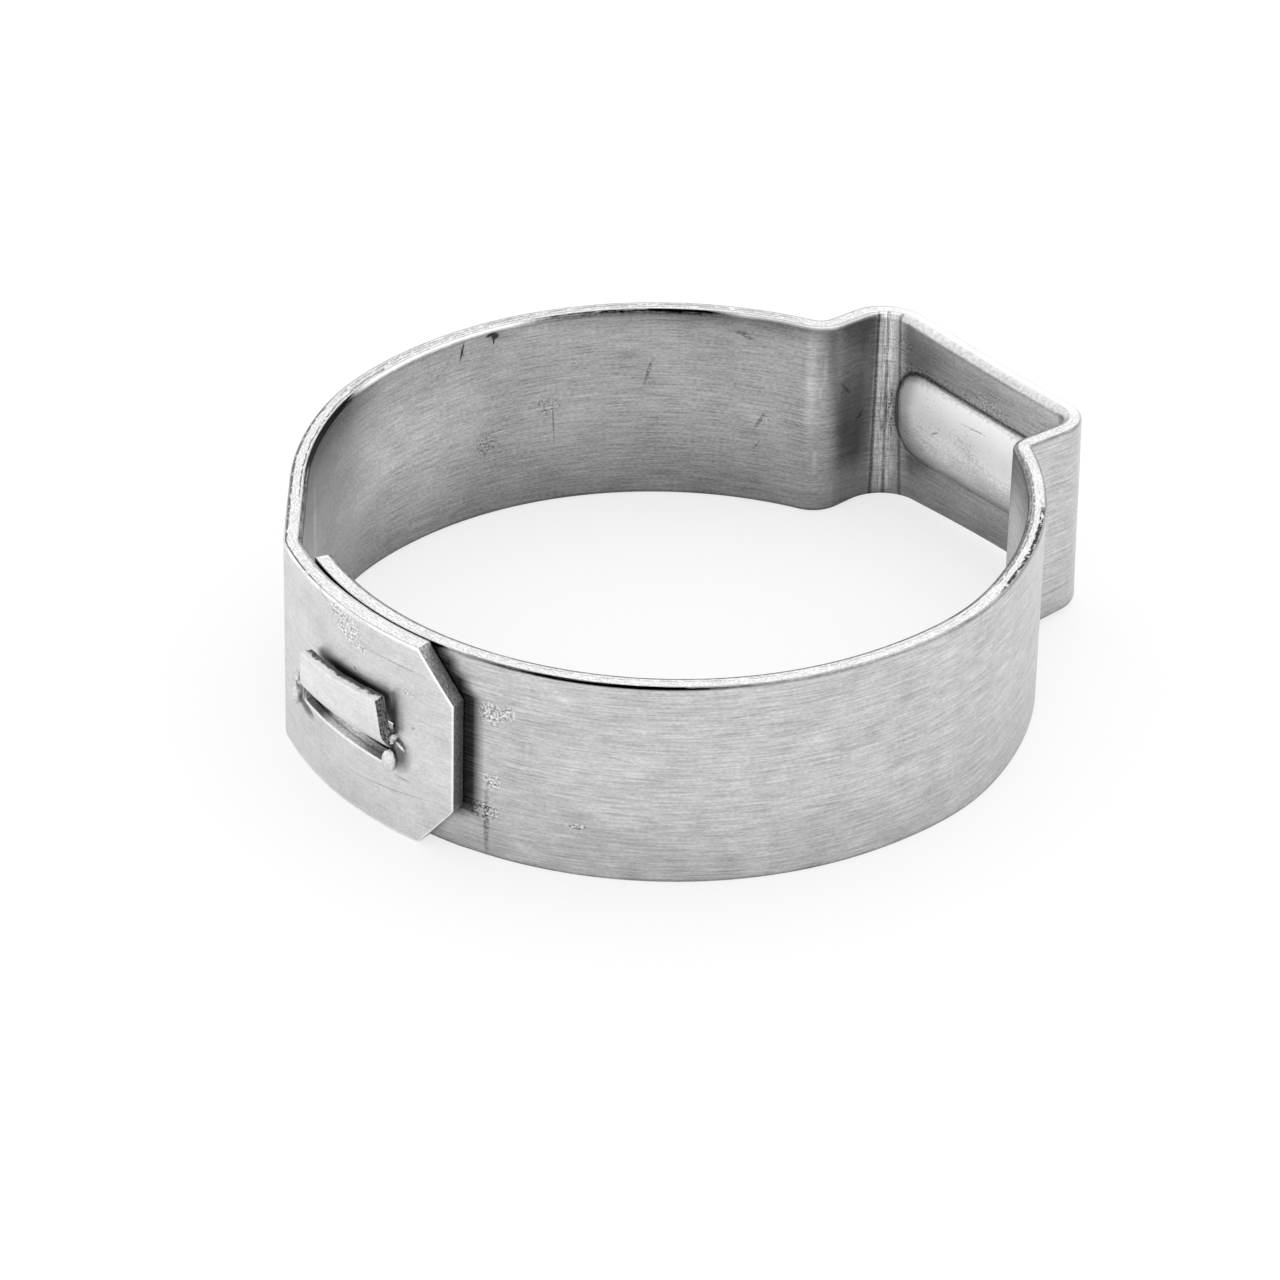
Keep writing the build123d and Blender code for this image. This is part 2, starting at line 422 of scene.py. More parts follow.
# Tongue: the run along it gives how far out and how high it stands; its sheared edges are rough
run = np.clip(zGrid - lanceLow, 0, tongueSpan)
nearTip = np.clip(1 - (tongueSpan - run) / lock["shearReach"], 0, 1)
tornEdge = lock["shear"] * rough(sGrid, zGrid, 1.7) * nearTip
toRight = np.clip((tongueS[1] - sGrid) / (tongueS[1] - tongueS[0]), 0, 1)
upFace = np.clip((run - runEnds[3]) / (tongueSpan - runEnds[3]), 0, 1)
tornEdge = tornEdge + lock["tipTilt"] * (toRight - 0.5) * smooth(run, runEnds[3], tongueSpan)
sideways = np.stack([-out[..., 1], out[..., 0]], -1)
place = place + sideways * (onTongue * lock["sideTilt"] * toRight ** 4 * smooth(run, runEnds[1], runEnds[3])
                            * (0.6 - upFace))[..., None]
outerThick = outerThick - lock["thinned"] * onTongue * smooth(run, runEnds[2], runEnds[4] + 0.3)
innerThick = innerThick - lock["thinnedBehind"] * onTongue * smooth(run, runEnds[3], runEnds[4] + 0.3)
# Its middle line's lean, and how far out and how high it stands
turn = np.where(onTongue, np.interp(run, fineRun, fineLean), 0.0)
shift = np.where(onTongue, np.interp(run, fineRun, fineOut), 0.0)
height = np.where(onTongue, lanceLow + np.interp(run, fineRun, fineUp) + tornEdge, height)
place = place + out * shift[..., None]
outFlat = out * np.cos(turn)[..., None]
outUp = -np.sin(turn)

innerThick = innerThick + ear["crease"] * ridges
outward = np.concatenate([outFlat, outUp[..., None]], -1)
middleSheet = np.concatenate([place, height[..., None]], -1)
outer = middleSheet + outward * outerThick[..., None]
inner = middleSheet - outward * innerThick[..., None]

nS, nZ = len(sLine), len(zLine)
toInner = nS * nZ
number = np.arange(toInner).reshape(nS, nZ)


# Quads from four arrays of corner numbers, one row for each quad
def quads(a, b, c, d):
    return np.stack([a.ravel(), b.ravel(), c.ravel(), d.ravel()], -1)


# Outer and inner faces of the cells that are kept, and a wall wherever a kept cell ends
a, b, c, d = number[:-1, :-1], number[:-1, 1:], number[1:, 1:], number[1:, :-1]
padded = np.pad(kept, 1)
lowS, highS = kept & ~padded[:-2, 1:-1], kept & ~padded[2:, 1:-1]
lowZ, highZ = kept & ~padded[1:-1, :-2], kept & ~padded[1:-1, 2:]
outerFaces = quads(a[kept], b[kept], c[kept], d[kept])
innerFaces = outerFaces[:, ::-1] + toInner
walls = [quads(p, q, q + toInner, p + toInner) for p, q in (
    (b[lowS], a[lowS]), (d[highS], c[highS]), (a[lowZ], d[lowZ]), (c[highZ], b[highZ]))]
faces = np.concatenate([outerFaces, innerFaces, *walls])
outsideFace, insideFace, rimFace, endFace, tornFace, tipFace = range(6)     # places in steels, below
rightSides = np.repeat(between(sMid, *tongueS)[:, None], nZ - 1, 1)[lowS]
kinds = np.concatenate([
    np.full(len(outerFaces), outsideFace), np.full(len(innerFaces), insideFace),
    np.where(rightSides, tornFace, endFace), np.full(highS.sum(), endFace),
    np.full(lowZ.sum(), rimFace), np.where(inTongue[highZ], tipFace, rimFace)]).astype(np.int32)
points = np.concatenate([outer.reshape(-1, 3), inner.reshape(-1, 3)])
uv = np.stack([np.tile(sTrue.ravel(), 2), np.concatenate([zGrid.ravel(), zGrid.ravel() + 10])], -1) / 10

# Masks for the materials, as soft steps between the pairs here, in mm or as shares
reach = {
    "endShadow": (0.28, 0.54),        # painted shadow in front of the outer end
    "endShadowFoot": (0.9, 1.5),
    "root": (1.3, 1.8),             # where the tongue comes out of the slot
    "rootShade": (0.35, 0.85),      # shares of its width
    "rootLight": (0.3, 0.75),
    "tongueFace": (1.5, 1.9),
    "crownBand": (0.3, 0.75),       # below the crown's upper rim
    "legEnd": (0.22, 0.3),          # shares of the back corner
    "legFoot": (0.9, 2.0),
}
# Painted shadow on the ring in front of the outer end and beside its cut corners, fading out towards the
# lower rim
inFront = sGrid > startOf["frontRing"] + 5
beyondEnd = np.where(inFront, frontLength(outerEnd) - sGrid, -9.0)
slantBeyond = (fromRim * lap["tipLength"] - (beyondEnd + lap["tipLength"]) * lap["tipHeight"]) / slantLength
besideEnd = np.maximum(beyondEnd, -slantBeyond)
endShadow = np.where((beyondEnd > -8) & ~onTongue, 1 - smooth(besideEnd, *reach["endShadow"]), 0.0)
endShadow = endShadow * smooth(zGrid, *reach["endShadowFoot"])
onRoot = onTongue * (1 - smooth(run, *reach["root"]))
legStart = smooth(sGrid, startOf["backFoot"] + 0.5, startOf["backLeg"] + 0.3)
legHeight = 0.45 + 0.55 * smooth(zGrid, *reach["legFoot"])
fields = {
    "rootShade": onRoot * smooth(toRight, *reach["rootShade"]),
    "rootLight": onRoot * (1 - smooth(toRight, *reach["rootLight"])),
    "tongueFace": onTongue * smooth(run, *reach["tongueFace"]),
    "legShade": legStart * (1 - smooth(cornerShare, *reach["legEnd"])) * legHeight,
    "cornerShare": cornerShare,
    "crownBand": crownShare * (1 - smooth(width - zGrid, *reach["crownBand"])),
    "endShadow": endShadow,
    "toRim": fromRim + 0.3 * crownShare,
    "toEnd": toEnd, "toDimple": toDimple, "toCut": toCut, "galled": galled,
}
fields = {key: np.tile(field.ravel(), 2) for key, field in fields.items()}
used = np.unique(faces)
renumber = np.full(len(points), -1)
renumber[used] = np.arange(len(used))
faces = renumber[faces]


# A mesh object from whole arrays: points in mm, quads, a UV map in tens of mm, and point attributes
def meshPiece(name, points, faces, uv, materials, kinds, fields):
    mesh = bpy.data.meshes.new(name)
    mesh.vertices.add(len(points))
    mesh.vertices.foreach_set("co", (points * mm).astype(np.float32).ravel())
    mesh.loops.add(faces.size)
    mesh.loops.foreach_set("vertex_index", faces.astype(np.int32).ravel())
    mesh.polygons.add(len(faces))
    mesh.polygons.foreach_set("loop_start", np.arange(0, faces.size, 4, dtype=np.int32))
    mesh.polygons.foreach_set("loop_total", np.full(len(faces), 4, np.int32))
    for material in materials:
        mesh.materials.append(material)
    mesh.polygons.foreach_set("material_index", kinds)
    mesh.polygons.foreach_set("use_smooth", kinds <= insideFace)
    layer = mesh.uv_layers.new(name="stripMap")
    layer.data.foreach_set("uv", uv[faces.ravel()].astype(np.float32).ravel())
    for key, field in fields.items():
        mesh.attributes.new(key, "FLOAT", "POINT").data.foreach_set("value", field.astype(np.float32))
    mesh.update(calc_edges=True)
    mesh.validate()
    piece = bpy.data.objects.new(name, mesh)
    bpy.context.scene.collection.objects.link(piece)
    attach(piece, "root")
    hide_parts("clamp_band")
    print(name, len(faces) * 2, "triangles")
    return piece


# Outputs of a new shader node with its settings and inputs. An input is another node's socket or a value,
# and the node goes into the tree of the first socket, or into the one that is given
def addNode(kind, inputs=None, tree=None, **settings):
    sockets = [value for value in (inputs or {}).values() if isinstance(value, bpy.types.NodeSocket)]
    tree = tree or sockets[0].id_data
    made = tree.nodes.new("ShaderNode" + kind)
    for key, value in settings.items():
        setattr(made, key, value)
    for key, value in (inputs or {}).items():
        if isinstance(value, bpy.types.NodeSocket):
            tree.links.new(value, made.inputs[key])
        else:
            made.inputs[key].default_value = value
    return made.outputs


# One operation on up to three values
def mathNode(operation, a, b=0.0, c=0.0, clamp=False):
    return addNode("Math", {0: a, 1: b, 2: c}, operation=operation, use_clamp=clamp)[0]


# a x b, a + b and a - b
def times(a, b):
    return mathNode("MULTIPLY", a, b)


def plus(a, b):
    return mathNode("ADD", a, b)


def minus(a, b):
    return mathNode("SUBTRACT", a, b)


# The larger of a and b, and how far a is from b
def larger(a, b):
    return mathNode("MAXIMUM", a, b)


def apartFrom(a, b):
    return mathNode("ABSOLUTE", minus(a, b))


# base + what x amount
def added(base, what, amount):
    return mathNode("MULTIPLY_ADD", what, amount, base)


# value x (1 + amount x mask): a negative amount darkens
def toned(value, mask, amount):
    return times(value, mathNode("MULTIPLY_ADD", mask, amount, 1.0))


# From 0 below low to 1 above high, and from 1 down to 0
def ramp(value, low, high, toLow=0.0, toHigh=1.0):
    return addNode("MapRange", {0: value, 1: low, 2: high, 3: toLow, 4: toHigh}, clamp=True)[0]


def fall(value, low, high):
    return ramp(value, low, high, 1.0, 0.0)


# Noise over the strip's own map, with pitches in mm along and across it; 0.5 is its mean
def stripNoise(strips, along, across, detail=2.0, shiftBy=0.0):
    scaled = addNode("Mapping", {"Vector": strips, "Location": (shiftBy, shiftBy * 0.7, 0),
                                 "Scale": (10 / along, 10 / across, 1)})[0]
    return addNode("TexNoise", {"Vector": scaled, "Scale": 1.0, "Detail": detail, "Roughness": 0.6},
                   noise_dimensions="2D")["Fac"]


# A spot of the strip's map: 1 at its middle, 0 at an ellipse of the given half sizes in mm
def spot(strips, s, z, halfS, halfZ, turn=0.0):
    local = addNode("Mapping", {"Vector": strips, "Location": (s / 10, z / 10, 0),
                                "Rotation": (0, 0, math.radians(turn)),
                                "Scale": (halfS / 10, halfZ / 10, 1)}, vector_type="TEXTURE")[0]
    return addNode("TexGradient", {"Vector": local}, gradient_type="SPHERICAL")[1]


# The strongest of several spots, taken from 0 at low to 1 at high
def spots(strips, places, low, high):
    total = spot(strips, *places[0])
    for entry in places[1:]:
        total = larger(total, spot(strips, *entry))
    return ramp(total, low, high)


# A point attribute of the mesh
def attribute(tree, name):
    return addNode("Attribute", tree=tree, attribute_name=name)["Fac"]


# The strip's map and its two directions, in tens of mm
def stripMap(tree):
    strips = addNode("UVMap", tree=tree, uv_map="stripMap")[0]
    apart = addNode("SeparateXYZ", {0: strips})
    return strips, apart["X"], apart["Y"]


# Length along the strip of an angle in degrees on the ring's back and front parts, and of a place x on
# the crown: the span's start plus the way from there
def backAt(angle):
    return startOf["backRing"] + (backRingArc["start"] - math.radians(angle)) * ringR


def frontAt(angle):
    return frontLength(math.radians(angle))


def crownAt(x):
    return startOf["crown"] + x - float(backCornerArc["x"][0])


leg, foot = startOf["backLeg"], startOf["backFoot"]

# Looks of the two faces. Marks are (length along the strip, height, half sizes, turn in degrees); 10 is added
# to heights on the inner face. The shades are painted shade and the lights painted light, of strengths shade
# and lift
outsideLook = {
    "colour": 0.56, "roughness": 0.33, "streak": 0.46, "blotch": 0.17, "mottle": 0.17, "grain": 0.24,
    "bump": 0.1, "rimLine": 0.5, "rimReach": 0.13, "lift": 0.7, "shade": 0.9, "fleck": 0.5,
    "pits": [(4.25, 6.42, 0.7, 0.55), (4.9, 6.75, 0.35, 0.3), (3.65, 6.0, 0.3, 0.2), (1.6, 5.3, 0.3, 0.12),
             (frontAt(294.3), 5.15, 0.5, 0.5), (frontAt(297.0), 5.3, 0.25, 0.35),
             (frontAt(294.6), 2.75, 0.35, 0.3), (frontAt(293.0), 1.6, 0.7, 0.35),
             (1.9, 3.2, 0.3, 0.2, 30), (frontAt(308.0), 1.75, 0.4, 0.12)],
    "lines": [(frontAt(293.6), 1.3, 0.13, 1.7), (2.1, 6.13, 1.6, 0.04), (5.6, 6.9, 0.5, 0.05, 20),
              (2.4, 1.5, 2.4, 0.03, -7.6),
              (3.93, 5.1, 0.09, 0.09), (1.46, 4.09, 0.1, 0.1), (1.9, 2.1, 0.45, 0.05, 4),
              (frontAt(314.0), 4.35, 0.5, 0.025, 8), (frontAt(332.0), 5.9, 0.8, 0.02, -4)],
    "smudges": [(frontAt(311.3), 1.6, 1.0, 0.5), (frontAt(330.5), 0.4, 0.6, 0.7),
                (frontAt(340.3), 5.3, 1.3, 0.5), (6.3, 6.2, 1.0, 0.6, 20), (2.1, 3.9, 0.7, 0.25),
                (5.8, 5.7, 1.0, 1.3), (frontAt(318.0), 4.9, 1.4, 0.4), (frontAt(303.0), 5.2, 1.3, 0.5)],
    "shades": [(2.0, 2.9, 0.55, 0.75, 10), (4.1, 4.78, 2.2, 0.3, -2), (2.22, 4.1, 0.22, 1.1),
               (6.85, 2.12, 0.75, 0.26, 12), (7.5, 2.5, 0.12, 0.7), (6.9, 2.75, 0.12, 0.5),
               (frontAt(312.0), 6.95, 5.4, 0.085)],
    "blacks": [(7.1, 2.75, 0.1, 0.85), (6.75, 2.17, 0.62, 0.13, 8), (2.0, 3.45, 0.3, 0.09, 30)],
    "lights": [(frontAt(262.5), 2.9, 1.6, 0.9)],
}
insideLook = {
    "colour": 0.46, "roughness": 0.36, "streak": 0.5, "blotch": 0.3, "mottle": 0.1, "grain": 0.38,
    "bump": 0.12, "rimLine": 0.75, "rimReach": 0.18, "lift": 0.3, "shade": 0.45, "fleck": 0.2,
    "pits": [(backAt(161.0), 13.7, 0.5, 0.45), (backAt(170.9), 16.8, 0.2, 0.15),
             (backAt(172.6), 12.7, 0.5, 0.5), (backAt(123.7), 13.2, 0.2, 0.2),
             (crownAt(0.3), 15.55, 1.3, 0.4), (crownAt(-2.0), 15.35, 1.2, 0.25),
             (crownAt(-3.6), 16.0, 0.6, 0.4), (crownAt(-4.2), 13.3, 0.25, 1.1),
             (crownAt(-3.3), 15.2, 0.5, 0.25)],
    "lines": [(backAt(177.3), 16.55, 0.05, 0.35, 20), (backAt(127.6), 16.3, 0.5, 0.13, -20),
              (backAt(143.8), 14.7, 0.09, 0.7, -15), (backAt(160.0), 13.0, 0.04, 1.2, 3),
              (backAt(124.6), 13.15, 0.1, 0.55, -28), (backAt(181.9), 16.0, 0.5, 0.03, 30),
              (backAt(216.0), 16.78, 2.6, 0.07), (backAt(125.0), 12.2, 0.3, 0.04, 60),
              (crownAt(-1.4), 13.8, 0.25, 0.05, 30), (crownAt(0.2), 14.6, 0.9, 0.03, 4),
              (leg + 0.2, 14.55, 0.4, 0.09, -50), (leg + 0.95, 13.3, 0.4, 0.1, 50),
              (leg + 0.35, 15.15, 0.7, 0.03, 12)],
    "smudges": [(backAt(161.0), 13.6, 0.9, 0.8), (backAt(143.8), 14.4, 0.6, 0.9),
                (backAt(205.0), 14.0, 1.2, 1.4), (backAt(172.6), 12.6, 0.9, 0.7),
                (backAt(118.0), 13.4, 0.8, 1.6)],
    "shades": [(crownAt(-4.1), 13.4, 1.0, 1.9), (backAt(133.0), 17.05, 6.5, 0.8),
               (backAt(216.0), 16.7, 4.2, 0.9)],
    "blacks": [(backAt(213.5), 17.0, 3.2, 0.14), (backAt(170.9), 16.77, 0.2, 0.17),
               (backAt(171.8), 16.85, 0.24, 0.07, 10), (backAt(171.1), 16.6, 0.05, 0.17),
               (backAt(177.3), 16.55, 0.06, 0.42, -14)],
    "calm": [(backAt(215.0), 13.5, 5.0, 8.0)],
    "glintStretch": [(backAt(184.0), 17.0, 4.6, 1.5), (foot + 0.4, 17.0, 3.8, 1.5)],
    "lights": [(backAt(192.0), 14.0, 5.0, 5.0), (startOf["frontRing"] + 0.6, 14.5, 2.0, 5.0),
               (backAt(223.0), 14.4, 0.4, 3.2), (foot + 0.2, 14.8, 0.2, 3.0),
               (foot + 0.55, 15.4, 0.08, 0.9), (foot + 0.45, 14.6, 0.07, 0.3),
               (foot + 0.35, 11.9, 0.09, 0.7)],
}


# Noises of both faces: pitches in mm along and across the strip, detail, shift
brushing = {
    "streaks": (1.5, 0.045, 3.0),
    "longStreaks": (1.3, 0.1, 2.0, 3.0),
    "blotches": (2.6, 1.7, 4.0, 7.0),
    "mottle": (0.6, 0.4, 4.0, 13.0),
    "grain": (0.14, 0.07, 2.0, 11.0),
    "fine": (0.1, 0.09, 3.0, 5.0),
    "pitNoise": (0.09, 0.08, 2.0, 9.0),
}
# How much each kind of wear, painted shade and painted light changes the tone; below 0 it darkens
wearAndPaintedLight = {
    "calm": -0.75, "smudges": -0.2, "lines": -0.5, "pits": -0.5, "blacks": -0.85,
    "outline": -0.6, "brokenCreaseShade": -0.55, "galled": 0.9, "torn": 4.4, "legShade": -0.55, "edgeGlint": 0.7,
    "burnishedAndLit": 1.4, "crownBand": 0.35,
    "scuffed": -0.35, "slotEdge": 0.5, "rootPaintedShade": -1.0, "rootLight": 0.8, "tongueFace": 0.38, "paintedEndShadow": -1.0,
    # lap and outerEnd are painted light; lower darkens the ring towards its lower edge
    "lap": 0.2, "outerEnd": 0.5, "lower": -0.12,
}
# The streaks' height in the bump, in metres, and that of the wear and painted shade as multiples of it; below
# 0 it is sunk
relieved = {"height": 0.00005, "grain": 0.5, "pits": -9.0, "lines": -5.0, "torn": 8.0, "scuffed": -3.0,
            "rootPaintedShade": -6.0}
# Darker seams between the torn parts of the back corner: middle, half width, depth
cornerSeams = [(0.30, 0.04, 0.7), (0.50, 0.04, 0.6), (0.76, 0.04, 0.6)]


# A material with its node tree and its main shader
def newMaterial(name):
    material = bpy.data.materials.new(name)
    material.use_nodes = True
    return material, material.node_tree, material.node_tree.nodes["Principled BSDF"]


# Makes the shader a metal with this colour, roughness and bump
def asMetal(tree, shader, red, green, roughness, relief, strength, height):
    shader.inputs["Metallic"].default_value = 1.0
    colour = addNode("CombineColor", {0: red, 1: green, 2: green})[0]
    bump = addNode("Bump", {"Height": relief, "Strength": strength, "Distance": height})[0]
    for key, value in (("Base Color", colour), ("Roughness", roughness), ("Normal", bump)):
        tree.links.new(value, shader.inputs[key])


# Brushed steel: colour = base x (1 + streaks + blotches + grain), with the marks taken off or laid on;
# the same noises give the roughness and the bump
def brushedSteel(name, look, isInside):
    material, tree, shader = newMaterial(name)
    strips, along, across = stripMap(tree)
    toRim = attribute(tree, "toRim")
    streaks, longStreaks, blotches, mottle, grain, fine, pitNoise = (
        stripNoise(strips, *entry) for entry in brushing.values())
    if isInside:
        # burnish and painted light where the die pressed the dimple, with painted shade towards its lower
        # side
        toDimple = attribute(tree, "toDimple")
        burnishedAndLit = times(fall(toDimple, -0.3, -0.02), ramp(across, 1.2, 1.42, 0.1, 1.0))
        crownBand = attribute(tree, "crownBand")
        calm = larger(larger(burnishedAndLit, crownBand), times(spots(strips, look["calm"], 0.0, 0.5), 0.7))
    else:
        # the lap and the tongue are rubbed smoother than the ring
        tongueFace = attribute(tree, "tongueFace")
        calm = larger(ramp(along, 0.95, 1.2, 0.75, 0.0), times(tongueFace, 0.8))
    brushed = times(minus(streaks, 0.5), look["streak"] * 2)
    brushed = added(brushed, minus(longStreaks, 0.5), look["streak"] * 0.8)
    tone = toned(brushed, calm, wearAndPaintedLight["calm"])
    for noise, key in ((blotches, "blotch"), (mottle, "mottle"), (grain, "grain")):
        tone = added(tone, minus(noise, 0.5), look[key] * 2)
    tone = plus(tone, 1.0)

    pitted = spots(strips, look["pits"], 0.0, 0.35)
    pits = times(pitted, ramp(pitNoise, 0.52, 0.62))
    lines = times(spots(strips, look["lines"], 0.1, 0.6), ramp(fine, 0.3, 0.5))
    smudges = times(spots(strips, look["smudges"], 0.0, 0.8), ramp(mottle, 0.3, 0.65))
    for mask, key in ((smudges, "smudges"), (lines, "lines"), (pits, "pits")):
        tone = added(tone, mask, wearAndPaintedLight[key])
    tone = added(tone, times(pitted, fall(pitNoise, 0.38, 0.46)), look["fleck"])
    # painted shade from the shades, dark marks from the blacks, painted light from the lights
    tone = toned(tone, spots(strips, look["shades"], 0.0, 0.7), -look["shade"])
    tone = toned(tone, spots(strips, look["blacks"], 0.0, 0.5), wearAndPaintedLight["blacks"])
    tone = toned(tone, spots(strips, look["lights"], 0.0, 0.9), look["lift"])
    relief = added(streaks, grain, relieved["grain"])
    relief = added(relief, pits, relieved["pits"])
    relief = added(relief, lines, relieved["lines"])
    roughness = added(look["roughness"] - 0.1, blotches, 0.2)
    # a painted dark reflection along the rims' edges, fading inwards and broken by the streaks
    rimLine = times(fall(toRim, 0.03, look["rimReach"]), ramp(streaks, 0.35, 0.5, 0.3, 1.0))
    if isInside:
        # painted shade in the dimple's crease: a soft line below, black and broken above
        outline = times(fall(mathNode("ABSOLUTE", toDimple), 0.03, 0.1), ramp(across, 1.42, 1.5, 0.3, 1.0))
        brokenCreaseShade = times(fall(apartFrom(toDimple, 0.05), 0.04, 0.14),
                        times(ramp(across, 1.47, 1.52), ramp(fine, 0.4, 0.55)))
        tone = toned(toned(tone, outline, wearAndPaintedLight["outline"]), brokenCreaseShade, wearAndPaintedLight["brokenCreaseShade"])
        # torn metal in the back corner, between darker seams
        torn = stripNoise(strips, 0.05, 0.7, 4.0, 2.0)
        galled = attribute(tree, "galled")
        tone = toned(tone, galled, wearAndPaintedLight["galled"])
        tone = added(tone, times(galled, minus(torn, 0.5)), wearAndPaintedLight["torn"])
        relief = added(relief, times(galled, torn), relieved["torn"])
        roughness = added(roughness, galled, 0.12)
        share = added(attribute(tree, "cornerShare"), torn, 0.03)
        for middleShare, halfShare, depth in cornerSeams:
            fromSeam = apartFrom(share, middleShare + 0.015)
            seam = ramp(fromSeam, halfShare * 0.4, halfShare, depth, 0.0)
            tone = toned(tone, times(seam, ramp(fine, 0.3, 0.5, 0.5, 1.0)), -1.0)
        legShade = attribute(tree, "legShade")
        tone = toned(tone, legShade, wearAndPaintedLight["legShade"])
        # a painted highlight along a stretch of the rim's inner edge, where the dark line is taken off
        glintStretch = spots(strips, look["glintStretch"], 0.0, 0.3)
        rimLine = times(toned(rimLine, glintStretch, -0.7), ramp(along, 0.72, 0.9))
        tone = added(tone, times(glintStretch, fall(toRim, 0.03, 0.07)), wearAndPaintedLight["edgeGlint"])
        rimLine = toned(rimLine, legShade, -0.7)
    else:
        # dark where metal rubbed metal round the slot, bright on the slot's lower edge
        toCut = attribute(tree, "toCut")
        scuffed = times(fall(toCut, 0.02, 0.16), ramp(fine, 0.45, 0.62))
        aboveEdge = times(ramp(across, 0.23, 0.24), fall(tongueFace, 0.0, 0.5))
        scuffed = times(scuffed, aboveEdge)
        tone = added(tone, scuffed, wearAndPaintedLight["scuffed"])
        relief = added(relief, scuffed, relieved["scuffed"])
        slotEdge = times(fall(toCut, 0.04, 0.11), fall(across, 0.23, 0.24))
        tone = added(tone, slotEdge, wearAndPaintedLight["slotEdge"])
        # painted shade on the right of the tongue's root, mottled and sunk in the bump, and painted light on
        # its left
        rootPaintedShade = times(attribute(tree, "rootShade"), ramp(fine, 0.3, 0.6, 0.3, 0.9))
        tone = toned(tone, rootPaintedShade, wearAndPaintedLight["rootPaintedShade"])
        relief = added(relief, rootPaintedShade, relieved["rootPaintedShade"])
        tone = toned(tone, attribute(tree, "rootLight"), wearAndPaintedLight["rootLight"])
        tone = added(tone, tongueFace, wearAndPaintedLight["tongueFace"])
        # painted shadow along the outer end
        paintedEndShadow = times(attribute(tree, "endShadow"), ramp(streaks, 0.3, 0.7, 1.0, 0.9))
        tone = toned(tone, paintedEndShadow, wearAndPaintedLight["paintedEndShadow"])
        # the lap is painted brighter, with a painted highlight along the outer end's edge and its rims
        tone = plus(tone, ramp(along, 0.8, 1.0, wearAndPaintedLight["lap"], 0.0))
        tone = plus(tone, ramp(attribute(tree, "toEnd"), 0.03, 0.07, wearAndPaintedLight["outerEnd"], 0.0))
        rimLine = times(rimLine, ramp(along, 0.8, 1.0, -0.9, 1.0))
        # the ring is darker towards its lower edge
        lower = times(fall(across, 0.0, 0.26), ramp(along, 0.9, 1.2))
        tone = toned(tone, lower, wearAndPaintedLight["lower"])
    tone = added(tone, rimLine, -look["rimLine"])
    if isInside:
        tone = times(tone, ramp(across, 1.0, 1.35, 0.55, 1.0))      # darker towards the lower edge
        tone = toned(tone, burnishedAndLit, wearAndPaintedLight["burnishedAndLit"])
        tone = toned(tone, crownBand, wearAndPaintedLight["crownBand"])
        roughness = added(roughness, burnishedAndLit, 0.22)
    value = mathNode("MULTIPLY", tone, look["colour"], clamp=True)
    cooler = times(value, 0.99)     # green and blue, a little below red
    asMetal(tree, shader, value, cooler, roughness, relief, look["bump"], relieved["height"])
    return material


# Lines along both rims: from and to lengths along the strip, share of its thickness from outside, half
# their width as such a share, depth
rimMarks = [
    (frontAt(408.0), frontAt(378.0), 0.18, 0.19, 0.95),
    (frontAt(424.0), frontAt(380.0), 0.86, 0.1, 0.6),
    (5.6, backAt(206.0), 0.04, 0.13, 0.75),
    (backAt(238.0), backAt(190.0), 0.76, 0.07, 0.75),
    (backAt(206.0), backAt(118.0), 0.3, 0.16, 0.4),
    (backAt(206.0), backAt(118.0), 0.62, 0.07, 0.45),
    (frontAt(378.0), frontAt(290.0), 0.72, 0.06, 0.4),
]
sheared = {
    "fine": 13000.0,        # speckles and broad patches, as noise scales
    "broad": 1400.0,
    "bump": 0.5,
    "bumpHeight": 0.00004,  # in metres
    "ironed": 0.88,         # tone of the crown's rim, ironed smooth by the bending tool
    "torn": 0.12,           # tone behind the tongue's tip
}


